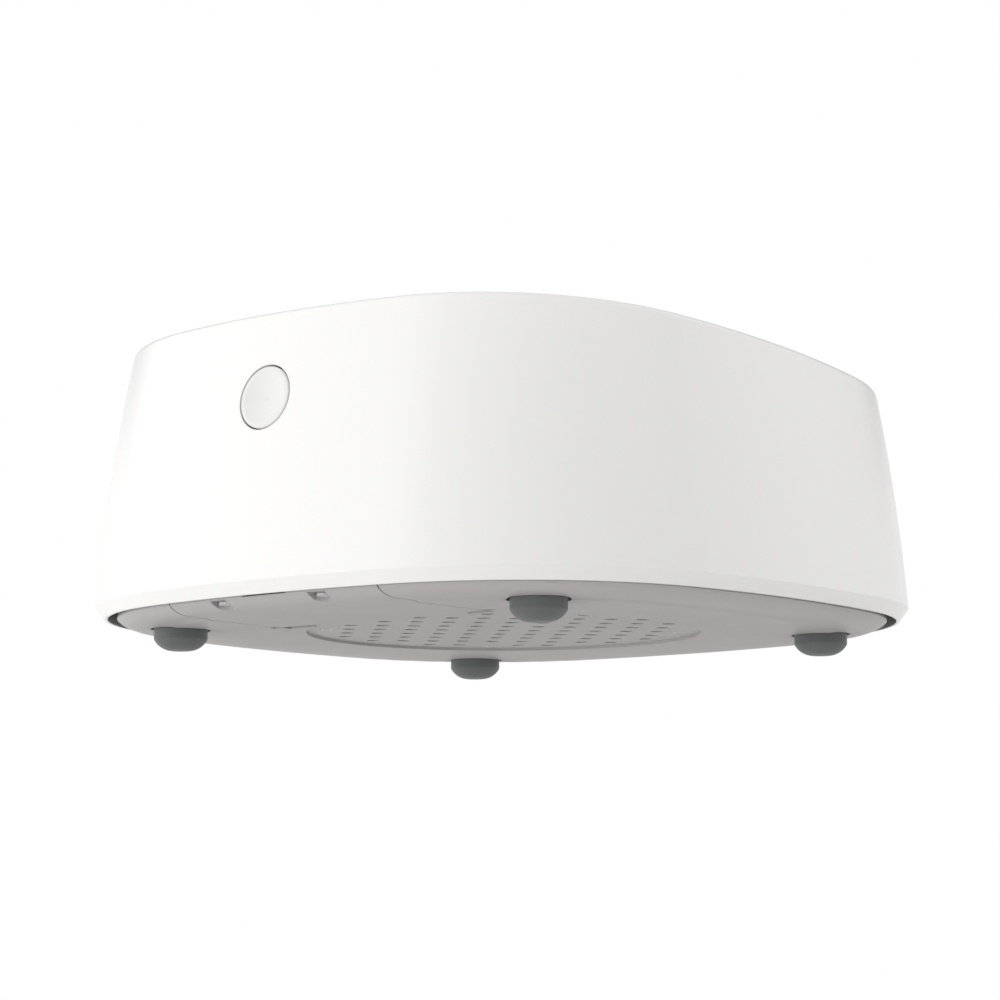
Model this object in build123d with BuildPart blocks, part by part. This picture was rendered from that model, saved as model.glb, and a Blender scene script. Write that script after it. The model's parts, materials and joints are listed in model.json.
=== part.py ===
from build123d import *
from math import atan2, cos, degrees, radians, sin, sqrt, tan
import os

# Smart pet bowl, millimetres. +Z is up, the front with the button is -Y, and the origin is on the
# surface that the feet stand on, under the middle of the shell.

# Outline of the shell at its widest edge: four bowed sides and four round corners
side_length = 184.0
side_radius = 236.0
corner_radius = 63.0

# Heights of the shell
plate_height = 5.0
edge_above_plate = 2.5
chamfer_height = 3.0
chamfer_inset = 2.3
wall_height = 57.7
wall_lean = 4.3
wall_radius = 485.0
top_slope = 4.04
shell_wall = 3.0
deck_thickness = 2.6
top_rim_round = 1.4

# Food bowl and the well that it drops into
bowl_back_margin = 15.5
deck_strip = 3.2
flange_width = 4.0
flange_thickness = 1.4
bowl_wall = 1.0
bowl_depth = 40.0
bowl_taper = 18.3
bowl_round = 14.0
flange_gap = 0.4
bowl_gap = 1.2
well_gap = 0.8
well_wall = 2.0
well_flange = 5.0

# Display cover in the deck
display_front_margin = 15.1
bezel_length = 62.4
bezel_width = 24.8
bezel_ring = 3.8
bezel_thickness = 2.8
bezel_proud = 0.5
bezel_gap = 0.2
window_ledge = 1.2
window_thickness = 1.4
pocket_wall = 1.8
pocket_floor = 1.6
window_seat_gap = 0.05
window_recess = 0.3
display_board_margin = 1.2
display_board_thickness = 1.6
digit_end_margin = 7.2
digit_side_margin = 6.4
digit_gap = 0.1

# Button in the front wall
button_height = 53.4
hole_radius = 7.85
button_gap = 0.35
collar_wall = 1.8
collar_depth = 4.2
cap_depth = 5.0
cap_wall = 1.2
cap_dish = 0.9
finger_slot = 1.5
finger_angles = (-30, -60, -120, -150)
carrier_thickness = 1.2
carrier_gap = 0.1
carrier_depth = 3.4
post_radius = 1.6
post_length = 2.4
press_travel = 0.8
switch_side = 6.2
switch_height = 3.4
stem_radius = 1.4
stem_length = 1.2
stem_gap = 0.1
switch_board_thickness = 1.6
switch_board_length = 26.0
switch_board_width = 12.0
switch_post_x = 10.8
switch_post_radius = 1.6

# Base plate
plate_thickness = 2.2
rim_inset = 5.35
rim_curve = 14.0
rim_rise = 2.6
rim_edge = 0.6
rim_wall = 2.0
panel_margin = 5.1
panel_recess = 0.7
vent_radius = 1.65
vent_pitch_across = 7.7
vent_pitch_along = 10.0
vent_margin = 4.0
screw_inset = 16.5
base_screw_length = 7.0
screw_shank = 0.75
screw_head = 1.7
screw_head_height = 1.1
screw_gap = 0.05
screw_sink = 0.8
screw_tip = 1.2
boss_radius = 3.6
boss_pilot = 1.0

# Weighing feet, one at each corner
foot_inset = 21.0
pad_radius = 6.6
pad_height = 6.4
pad_side_height = 3.6
pad_flat_radius = 2.0
pad_round = 0.5
foot_opening = 7.4
cell_length = 20.4
cell_width = 11.7
cell_height = 6.2
cell_seat_gap = 0.1
cell_step = 1.6
neck_radius = 5.0
cell_window_top = 8.0
cell_window_bottom = 6.8
cell_window_height = 1.8
bracket_radius = 13.7
bracket_thickness = 0.9
rivet_spacing = 14.0
rivet_radius = 1.8
rivet_height = 1.0
pocket_gap = 0.3
pocket_rib = 1.4
pocket_proud = 0.2
pocket_notch = 8.0
pocket_mouth = 11.4
bay_wall = 2.0
bay_wall_length = 19.0
bay_wall_height = 13.0

# Battery box with two AAA cells
aaa_radius = 5.25
aaa_length = 43.7
nub_radius = 1.9
nub_length = 0.8
cell_spacing = 12.6
box_side_gap = 1.35
box_wall = 1.4
box_step = 5.0
box_seat_gap = 0.1
cell_clearance = 0.4
contact_room = 2.4
contact_thickness = 0.4
spring_radius = 2.6
spring_tip_radius = 1.6
contact_margin = 0.5
rib_width = 1.0
rib_depth = 0.8
rib_height = 8.0
rib_spacing = 14.8
front_cut_height = 3.2

# Battery door, gasket and hinge
door_width = 65.0
door_gap = 0.35
door_body_height = 5.6
door_rim_margin = 3.2
door_rim_front_margin = 15.7
door_rim_back_margin = 5.6
door_rim_wall = 1.3
door_rim_height = 3.6
gasket_wall = 0.9
gasket_web = 1.0
gasket_web_width = 5.0
gasket_flange = 1.4
gasket_side_gap = 0.3
gasket_swing_gap = 1.5
gasket_seat_gap = 0.1
hook_length = 5.0
hook_spacing = 29.3
hook_proud = 0.7
hook_height = 1.0
hinge_margin = 45.4
barrel_radius = 2.3
pin_radius = 1.1
pin_gap = 0.05
hinge_clearance = 3.9
pin_reach = 2.4
barrel_lift = 0.1
ear_wall = 1.4
ear_thickness = 3.6
door_screw_x = 15.4
door_screw_margin = 9.0
door_screw_length = 8.0
door_screw_shank = 0.85
door_screw_head = 1.8
door_screw_head_height = 1.1
door_screw_sink = 2.4
door_screw_funnel = 2.6
door_screw_swing = 0.85
door_screw_slot = 5.0
door_boss_radius = 2.6
door_boss_height = 0.5
box_boss_gap = 0.1
box_boss_top = 3.0
notch_width = 13.6
notch_height = 3.0
notch_depth = 3.0
side_recess_depth = 3.2
side_recess_wall = 0.9
side_recess_front_margin = 12.5
side_recess_back_margin = 3.9

# Control board on top of the battery box
board_thickness = 1.2
board_length = 50.0
board_width = 24.0
board_lift = 2.4
board_post_radius = 1.6
board_post_inset = 2.6
chip_side = 9.0
chip_height = 1.4
buzzer_radius = 4.5
buzzer_height = 4.0
capacitor_radius = 2.5
capacitor_spacing = 6.5
capacitor_height = 6.0

edge_height = plate_height + edge_above_plate + chamfer_height
top_height = edge_height + wall_height
half_side = side_length / 2
plate_floor = plate_height + plate_thickness

# Along the middle line from the front: display cover, strip of deck, flange and opening of the bowl
display_y = -half_side + display_front_margin + bezel_width / 2
bowl_front = display_y + bezel_width / 2 + deck_strip + flange_gap + flange_width
bowl_back = half_side - bowl_back_margin
opening_radius = (bowl_back - bowl_front) / 2
bowl_centre_y = (bowl_back + bowl_front) / 2
bowl_floor_radius = opening_radius - bowl_gap - bowl_taper
base_screw_radius = opening_radius - screw_inset
panel_radius = base_screw_radius + panel_margin

# From the front of the underside: screws, raised rim and hinge of the battery door
door_screw_y = -half_side + door_screw_margin
door_rim_front = -half_side + door_rim_front_margin
hinge_y = -half_side + hinge_margin
door_rim_back = hinge_y - door_rim_back_margin
door_rim_length = door_width - 2 * door_rim_margin
battery_y = (door_rim_front + door_rim_back) / 2

os.makedirs("parts", exist_ok=True)


def save(piece, name):
    """Label a finished piece and write it under its name."""
    piece.part.label = name
    export_step(piece.part, "parts/" + name + ".step")


# The round corners touch the bowed sides, which sets where the corner centres lie
side_centre = side_radius - half_side
corner_centre = (sqrt(2 * (side_radius - corner_radius) ** 2 - side_centre**2) - side_centre) / 2
side_half_angle = degrees(atan2(corner_centre, side_centre + corner_centre))
foot_radius = corner_centre * sqrt(2) + corner_radius - foot_inset


def plan_face(inset):
    """Face of the shell's outline, drawn in by inset, in the sketch that is open."""
    with BuildLine() as outline:
        for quarter in range(4):
            facing = -90 + 90 * quarter
            across = radians(facing)
            middle = (-side_centre * cos(across), -side_centre * sin(across))
            CenterArc(middle, side_radius - inset, facing - side_half_angle, 2 * side_half_angle)
            corner = radians(facing + 45)
            spot = (corner_centre * sqrt(2) * cos(corner), corner_centre * sqrt(2) * sin(corner))
            sweep_angle = 90 - 2 * side_half_angle
            CenterArc(spot, corner_radius - inset, facing + side_half_angle, sweep_angle)
    make_face(outline.edges())


def wall_inset(rise):
    """How far the wall has leaned in at a height above the widest edge."""
    return rise * tan(radians(wall_lean)) + rise**2 / (2 * wall_radius)


# The sloped top, and planes that lie along it
slope = radians(top_slope)
top_plane = Plane(origin=(0, 0, top_height), x_dir=(1, 0, 0), z_dir=(0, sin(slope), cos(slope)))
loft_top = wall_height + half_side * tan(slope) + deck_thickness

# Button axis, square to the front wall where the button sits
button_rise = button_height - edge_height
button_lean = radians(wall_lean) + button_rise / wall_radius
button_y = -(half_side - wall_inset(button_rise))
button_plane = Plane(
    origin=(0, button_y, button_height),
    x_dir=(1, 0, 0),
    z_dir=(0, -cos(button_lean), sin(button_lean)),
)
collar_radius = hole_radius + collar_wall
post_end = carrier_depth + carrier_thickness + post_length
switch_back = post_end + stem_length + switch_height

# Hollow of the shell, with the collar left standing
with BuildPart() as shell_hollow:
    for share in (0, 0.5, 1):
        with BuildSketch(Plane.XY.offset(edge_height + share * loft_top)):
            plan_face(shell_wall + wall_inset(share * loft_top))
    loft()
    with BuildSketch(Plane.XY.offset(edge_height)):
        plan_face(shell_wall)
    extrude(amount=-chamfer_height - edge_above_plate)
    split(bisect_by=top_plane.offset(-deck_thickness), keep=Keep.BOTTOM)
    with BuildSketch(button_plane):
        Circle(collar_radius)
    extrude(amount=-collar_depth, mode=Mode.SUBTRACT)
    pocket_depth = bezel_thickness - bezel_proud + pocket_floor
    with BuildSketch(top_plane):
        with Locations((0, display_y)):
            SlotOverall(
                bezel_length + 2 * (bezel_gap + pocket_wall),
                bezel_width + 2 * (bezel_gap + pocket_wall),
            )
    extrude(amount=-pocket_depth, mode=Mode.SUBTRACT)

# Outer shell
with BuildPart() as outer_shell:
    for share in (0, 0.5, 1):
        with BuildSketch(Plane.XY.offset(edge_height + share * loft_top)):
            plan_face(wall_inset(share * loft_top))
    loft()
    with BuildSketch(Plane.XY.offset(edge_height - chamfer_height)):
        plan_face(chamfer_inset)
    with BuildSketch(Plane.XY.offset(edge_height)):
        plan_face(0)
    loft(ruled=True)
    split(bisect_by=top_plane, keep=Keep.BOTTOM)
    top_face = outer_shell.faces().sort_by(Axis((0, 0, 0), (0, sin(slope), cos(slope))))[-1]
    fillet(top_face.edges(), top_rim_round)
    add(shell_hollow.part, mode=Mode.SUBTRACT)
    with BuildSketch(top_plane):
        with Locations((0, bowl_centre_y)):
            Circle(opening_radius)
    extrude(amount=-2 * deck_thickness, mode=Mode.SUBTRACT)
    with BuildSketch(top_plane):
        with Locations((0, bowl_centre_y)):
            Circle(opening_radius + flange_width + flange_gap)
    extrude(amount=-flange_thickness, mode=Mode.SUBTRACT)
    with BuildSketch(top_plane):
        with Locations((0, display_y)):
            SlotOverall(bezel_length + 2 * bezel_gap, bezel_width + 2 * bezel_gap)
    extrude(amount=bezel_proud - bezel_thickness, mode=Mode.SUBTRACT)
    with BuildSketch(top_plane):
        with Locations((0, display_y)):
            SlotOverall(bezel_length - 2 * bezel_ring, bezel_width - 2 * bezel_ring)
    extrude(amount=-2 * pocket_depth, mode=Mode.SUBTRACT)
    with BuildSketch(button_plane):
        Circle(hole_radius)
    extrude(amount=2 * collar_depth, both=True, mode=Mode.SUBTRACT)
    with BuildSketch(button_plane.offset(-shell_wall / 2)):
        with Locations((-switch_post_x, 0), (switch_post_x, 0)):
            Circle(switch_post_radius)
    extrude(amount=shell_wall / 2 - switch_back)
save(outer_shell, "outer_shell")

# Food bowl, hung by its flange in the deck
bowl_axis_plane = top_plane.shift_origin(top_plane.from_local_coords((0, bowl_centre_y, 0)))
bowl_axis = Axis(bowl_axis_plane.origin, bowl_axis_plane.z_dir)
bowl_section = Plane(
    origin=bowl_axis_plane.origin, x_dir=(1, 0, 0), z_dir=(0, -cos(slope), sin(slope))
)
bowl_top_radius = opening_radius - bowl_gap
with BuildPart() as food_bowl:
    with BuildSketch(bowl_section):
        with BuildLine():
            Polyline(
                (0, -bowl_depth), (bowl_floor_radius, -bowl_depth), (bowl_top_radius, 0), (0, 0), close=True
            )
        make_face()
    revolve(axis=bowl_axis)
    fillet(food_bowl.edges().filter_by(GeomType.CIRCLE).sort_by(bowl_axis)[0], bowl_round)
    offset(amount=-bowl_wall, openings=food_bowl.faces().sort_by(bowl_axis)[-1])
    with BuildSketch(bowl_axis_plane):
        Circle(opening_radius + flange_width)
        Circle(bowl_top_radius - bowl_wall, mode=Mode.SUBTRACT)
    extrude(amount=-flange_thickness)
save(food_bowl, "food_bowl")

# Well under the deck, with the bosses that the base plate is screwed to
well_depth = bowl_depth + well_gap
well_floor_radius = bowl_floor_radius + well_gap
with BuildPart() as well_space:
    with BuildSketch(bowl_section):
        with BuildLine():
            Polyline(
                (0, -well_depth), (well_floor_radius, -well_depth), (opening_radius, 0), (0, 0), close=True
            )
        make_face()
    revolve(axis=bowl_axis)
    fillet(well_space.edges().filter_by(GeomType.CIRCLE).sort_by(bowl_axis)[0], bowl_round)
with BuildPart() as bowl_well:
    with BuildSketch(bowl_section):
        with BuildLine():
            Polyline(
                (0, -well_depth - well_wall),
                (well_floor_radius + well_wall, -well_depth - well_wall),
                (opening_radius + well_wall, -deck_thickness),
                (0, -deck_thickness),
                close=True,
            )
        make_face()
    revolve(axis=bowl_axis)
    fillet(
        bowl_well.edges().filter_by(GeomType.CIRCLE).sort_by(bowl_axis)[0], bowl_round + well_wall
    )
    with BuildSketch(bowl_axis_plane.offset(-deck_thickness)):
        Circle(opening_radius + well_flange)
    extrude(amount=-well_wall)
    with BuildSketch(Plane.XY.offset(plate_floor)):
        with PolarLocations(base_screw_radius, 4, start_angle=45):
            Circle(boss_radius)
    extrude(amount=top_height)
    split(bisect_by=top_plane.offset(-deck_thickness), keep=Keep.BOTTOM)
    add(well_space.part, mode=Mode.SUBTRACT)
    with BuildSketch(Plane.XY.offset(plate_floor)):
        with PolarLocations(base_screw_radius, 4, start_angle=45):
            Circle(screw_shank + screw_gap)
    extrude(amount=base_screw_length + boss_pilot, mode=Mode.SUBTRACT)
save(bowl_well, "bowl_well")

# Display cover: chrome ring with a translucent window let in from above
display_plane = top_plane.shift_origin(top_plane.from_local_coords((0, display_y, 0)))
window_length = bezel_length - 2 * bezel_ring + 2 * window_ledge
window_width = bezel_width - 2 * bezel_ring + 2 * window_ledge
with BuildPart() as display_bezel:
    with BuildSketch(display_plane.offset(bezel_proud - bezel_thickness)):
        SlotOverall(bezel_length, bezel_width)
        SlotOverall(bezel_length - 2 * bezel_ring, bezel_width - 2 * bezel_ring, mode=Mode.SUBTRACT)
    extrude(amount=bezel_thickness)
    fillet(display_bezel.faces().sort_by(bowl_axis)[-1].outer_wire().edges(), bezel_proud)
    with BuildSketch(display_plane.offset(bezel_proud - window_thickness - window_seat_gap)):
        SlotOverall(window_length, window_width)
    extrude(amount=bezel_thickness, mode=Mode.SUBTRACT)
save(display_bezel, "display_bezel")

with BuildPart() as display_window:
    with BuildSketch(display_plane.offset(bezel_proud - window_thickness)):
        SlotOverall(window_length - 2 * window_seat_gap, window_width - 2 * window_seat_gap)
    extrude(amount=window_thickness)
    with BuildSketch(display_plane.offset(bezel_proud - bezel_thickness + window_recess)):
        SlotOverall(
            bezel_length - 2 * (bezel_ring + window_seat_gap),
            bezel_width - 2 * (bezel_ring + window_seat_gap),
        )
    extrude(amount=bezel_thickness - window_thickness - window_recess)
save(display_window, "display_window")

with BuildPart() as display_board:
    with BuildSketch(display_plane.offset(-pocket_depth - display_board_thickness)):
        Rectangle(bezel_length - 2 * display_board_margin, bezel_width - 2 * display_board_margin)
    extrude(amount=display_board_thickness)
save(display_board, "display_board")

with BuildPart() as digit_module:
    with BuildSketch(display_plane.offset(-pocket_depth)):
        Rectangle(bezel_length - 2 * digit_end_margin, bezel_width - 2 * digit_side_margin)
    extrude(amount=pocket_floor - digit_gap)
save(digit_module, "digit_module")

# Button: cap with snap fingers, carrier with its post, and the switch behind it
cap_radius = hole_radius - button_gap
cap_top = cap_wall + cap_dish
dish_radius = ((cap_radius - cap_wall) ** 2 + cap_dish**2) / (2 * cap_dish)
with BuildPart() as button_cap:
    with BuildSketch(button_plane):
        Circle(cap_radius)
    extrude(amount=-cap_depth)
    fillet(button_cap.edges().sort_by(Axis(button_plane.origin, button_plane.z_dir))[-1], cap_wall / 3)
    with BuildSketch(button_plane.offset(-cap_top)):
        Circle(cap_radius - cap_wall)
    extrude(amount=cap_top - cap_depth, mode=Mode.SUBTRACT)
    with BuildSketch(button_plane.offset(-cap_depth)):
        for angle in finger_angles:
            with PolarLocations(0, 1, start_angle=angle):
                Rectangle(2 * cap_radius, finger_slot, align=(Align.MIN, Align.CENTER))
    extrude(amount=cap_depth - cap_top - cap_wall / 2, mode=Mode.SUBTRACT)
    with Locations(button_plane.offset(dish_radius - cap_dish)):
        Sphere(dish_radius, mode=Mode.SUBTRACT)
save(button_cap, "button_cap")

with BuildPart() as button_carrier:
    with BuildSketch(button_plane.offset(-carrier_depth)):
        Circle(cap_radius - cap_wall - carrier_gap)
    extrude(amount=-carrier_thickness)
    with BuildSketch(button_plane.offset(-carrier_depth)):
        Circle(post_radius)
    extrude(amount=-carrier_thickness - post_length)
save(button_carrier, "button_carrier")

with BuildPart() as switch_stem:
    with BuildSketch(button_plane.offset(-post_end)):
        Circle(stem_radius)
    extrude(amount=-2 * stem_length)
save(switch_stem, "switch_stem")

with BuildPart() as push_switch:
    with BuildSketch(button_plane.offset(-post_end - stem_length)):
        Rectangle(switch_side, switch_side)
    extrude(amount=-switch_height)
    with BuildSketch(button_plane.offset(-post_end - stem_length)):
        Circle(stem_radius + stem_gap)
    extrude(amount=-stem_length - press_travel - stem_gap, mode=Mode.SUBTRACT)
save(push_switch, "push_switch")

with BuildPart() as switch_board:
    with BuildSketch(button_plane.offset(-switch_back)):
        Rectangle(switch_board_length, switch_board_width)
    extrude(amount=-switch_board_thickness)
save(switch_board, "switch_board")

# Underside of the plate and door: a flat middle whose rim curves up as a quarter ellipse
with BuildPart() as underside:
    for turn in (0, 30, 60, 90):
        rise = rim_rise * (1 - cos(radians(turn)))
        with BuildSketch(Plane.XY.offset(plate_height + rise)):
            plan_face(rim_inset + rim_curve * (1 - sin(radians(turn))))
    loft()

# Base plate
door_opening = door_width + 2 * door_gap
hinge_height = plate_height + barrel_lift + barrel_radius
opening_back = hinge_y + hinge_clearance
rim_top = plate_height + rim_rise + rim_edge
pin_half = door_width / 2 + door_gap + pin_reach
foot_angles = (45, 135, 225, 315)
cell_bottom = plate_floor + cell_seat_gap
bracket_bottom = cell_bottom + cell_height
pocket_radius = bracket_radius + pocket_gap
pocket_height = bracket_bottom + bracket_thickness + pocket_proud - plate_floor


def foot_plane(angle, height):
    """Plane at a foot, with X pointing outwards along the diagonal."""
    way = radians(angle)
    spot = (foot_radius * cos(way), foot_radius * sin(way), height)
    return Plane(origin=spot, x_dir=(cos(way), sin(way), 0), z_dir=(0, 0, 1))


def vent_spots():
    """Grid of vents along the diagonals, clear of the screws and of the door."""
    spots = []
    clear = boss_radius + vent_radius + screw_gap
    across_count = int(panel_radius / vent_pitch_across)
    along_count = int(panel_radius / vent_pitch_along)
    for across in range(-across_count, across_count + 1):
        for along in range(-along_count, along_count + 1):
            here = Vector(across * vent_pitch_across, along * vent_pitch_along).rotate(Axis.Z, 45)
            near_screw = min(
                (here - Vector(base_screw_radius, 0).rotate(Axis.Z, angle)).length for angle in foot_angles
            )
            inside = here.length < panel_radius - vent_margin
            behind_door = here.Y > opening_back + vent_margin
            if inside and behind_door and near_screw > clear:
                spots.append((here.X, here.Y))
    return spots


with BuildPart() as base_plate:
    add(underside.part)
    with BuildSketch(Plane.XY.offset(plate_height + rim_rise)):
        plan_face(rim_inset)
    extrude(amount=rim_edge)
    with BuildSketch(Plane.XY.offset(plate_floor)):
        plan_face(rim_inset + rim_wall)
    extrude(amount=rim_top - plate_floor, mode=Mode.SUBTRACT)
    with BuildSketch(Plane.XY.offset(plate_height)):
        Circle(panel_radius)
    extrude(amount=panel_recess, mode=Mode.SUBTRACT)
    for side in (-1, 1):
        with BuildSketch(Plane.XY.offset(plate_height)):
            with Locations((side * (door_opening / 2 + ear_thickness / 2), hinge_y)):
                Rectangle(ear_thickness, 2 * (barrel_radius + ear_wall))
        extrude(amount=hinge_height + pin_radius + ear_wall - plate_height)
        with BuildSketch(Plane.XY.offset(plate_floor)):
            with Locations((side * (door_opening + bay_wall) / 2, battery_y)):
                Rectangle(bay_wall, bay_wall_length)
        extrude(amount=bay_wall_height)
    for angle in foot_angles:
        with BuildSketch(foot_plane(angle, plate_floor)):
            Circle(pocket_radius + pocket_rib)
            Circle(pocket_radius, mode=Mode.SUBTRACT)
            with Locations((-pocket_radius, 0)):
                Rectangle(4 * pocket_rib, pocket_notch, mode=Mode.SUBTRACT)
            with Locations((pocket_radius / 2, 0)):
                Rectangle(
                    pocket_radius, pocket_mouth, align=(Align.MIN, Align.MAX), mode=Mode.SUBTRACT
                )
        extrude(amount=pocket_height)
        with BuildSketch(foot_plane(angle, plate_height)):
            Circle(foot_opening)
        extrude(amount=plate_thickness, mode=Mode.SUBTRACT)
    with BuildSketch(Plane.XY.offset(plate_height)):
        with Locations((0, opening_back)):
            Rectangle(door_opening, side_length, align=(Align.CENTER, Align.MAX))
    extrude(amount=hinge_height + barrel_radius + ear_wall, mode=Mode.SUBTRACT)
    with BuildSketch(Plane.YZ.offset(-pin_half)):
        with Locations((hinge_y, hinge_height)):
            Circle(pin_radius + pin_gap)
            Rectangle(2 * (pin_radius + pin_gap), barrel_radius + plate_height, align=(Align.CENTER, Align.MAX))
    extrude(amount=2 * pin_half, mode=Mode.SUBTRACT)
    with BuildSketch(Plane.XY.offset(plate_height)):
        with Locations(*vent_spots()):
            Circle(vent_radius)
    extrude(amount=plate_thickness, mode=Mode.SUBTRACT)
    with BuildSketch(Plane.XY.offset(plate_height)):
        with PolarLocations(base_screw_radius, 4, start_angle=45):
            Circle(screw_shank + screw_gap)
    extrude(amount=plate_thickness, mode=Mode.SUBTRACT)
    with BuildSketch(Plane.XY.offset(plate_height)):
        with PolarLocations(base_screw_radius, 4, start_angle=45):
            Circle(screw_head + screw_gap)
    extrude(amount=panel_recess + screw_sink, mode=Mode.SUBTRACT)
save(base_plate, "base_plate")

# Base screws, heads up against the sunk seats of the plate
seat_height = plate_height + panel_recess + screw_sink
with BuildPart() as base_screws:
    with BuildSketch(Plane.XY.offset(seat_height)):
        with PolarLocations(base_screw_radius, 4, start_angle=45):
            Circle(screw_shank)
    extrude(amount=base_screw_length - screw_tip)
    with BuildSketch(Plane.XY.offset(seat_height - screw_head_height)):
        with PolarLocations(base_screw_radius, 4, start_angle=45):
            Circle(screw_head)
    extrude(amount=screw_head_height)
    for angle in foot_angles:
        spot = Vector(base_screw_radius, 0).rotate(Axis.Z, angle)
        tip_base = seat_height + base_screw_length - screw_tip
        with Locations((spot.X, spot.Y, tip_base)):
            Cone(screw_shank, 0, screw_tip, align=(Align.CENTER, Align.CENTER, Align.MIN))
save(base_screws, "base_screws")

# Weighing feet: rubber pad, load cell in its housing, and the bracket riveted to it
foot_names = ("back_right", "back_left", "front_left", "front_right")
for name, angle in zip(foot_names, foot_angles):
    ground = foot_plane(angle, 0)
    upright = Plane(origin=ground.origin, x_dir=ground.x_dir, z_dir=-ground.y_dir)
    with BuildPart() as foot_pad:
        with BuildSketch(upright):
            with BuildLine():
                dome_top = pad_height - pad_side_height
                Line((0, 0), (pad_flat_radius, 0))
                TangentArc((pad_flat_radius, 0), (pad_radius, dome_top), tangent=(1, 0))
                Polyline((pad_radius, dome_top), (pad_radius, pad_height), (0, pad_height), (0, 0))
            make_face()
        revolve(axis=Axis(ground.origin, (0, 0, 1)))
        fillet(foot_pad.edges().filter_by(GeomType.CIRCLE).sort_by(Axis.Z)[-1], pad_round)
    save(foot_pad, "foot_pad_" + name)

    with BuildPart() as load_cell:
        with BuildSketch(upright):
            half = cell_length / 2
            cell_top = cell_bottom + cell_height
            with BuildLine():
                Polyline(
                    (-half, cell_top),
                    (-half, cell_bottom + cell_step),
                    (-half + cell_step, cell_bottom + cell_step),
                    (-half + cell_step, cell_bottom),
                    (half - cell_step, cell_bottom),
                    (half - cell_step, cell_bottom + cell_step),
                    (half, cell_bottom + cell_step),
                    (half, cell_top),
                    close=True,
                )
            make_face()
            with BuildLine():
                Polyline(
                    (-cell_window_top / 2, cell_top),
                    (-cell_window_bottom / 2, cell_top - cell_window_height),
                    (cell_window_bottom / 2, cell_top - cell_window_height),
                    (cell_window_top / 2, cell_top),
                    close=True,
                )
            make_face(mode=Mode.SUBTRACT)
        extrude(amount=cell_width / 2, both=True)
        with BuildSketch(ground.offset(pad_height)):
            Circle(neck_radius)
        extrude(amount=cell_bottom - pad_height)
    save(load_cell, "load_cell_" + name)

    with BuildPart() as foot_bracket:
        with BuildSketch(ground.offset(bracket_bottom)):
            Circle(bracket_radius)
        extrude(amount=bracket_thickness)
        with BuildSketch(ground.offset(bracket_bottom + bracket_thickness)):
            with GridLocations(rivet_spacing, 0, 2, 1):
                Circle(rivet_radius)
        extrude(amount=rivet_height)
        fillet(foot_bracket.edges().filter_by(GeomType.CIRCLE).sort_by(Axis.Z)[-1], rivet_height / 3)
    save(foot_bracket, "foot_bracket_" + name)

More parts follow.
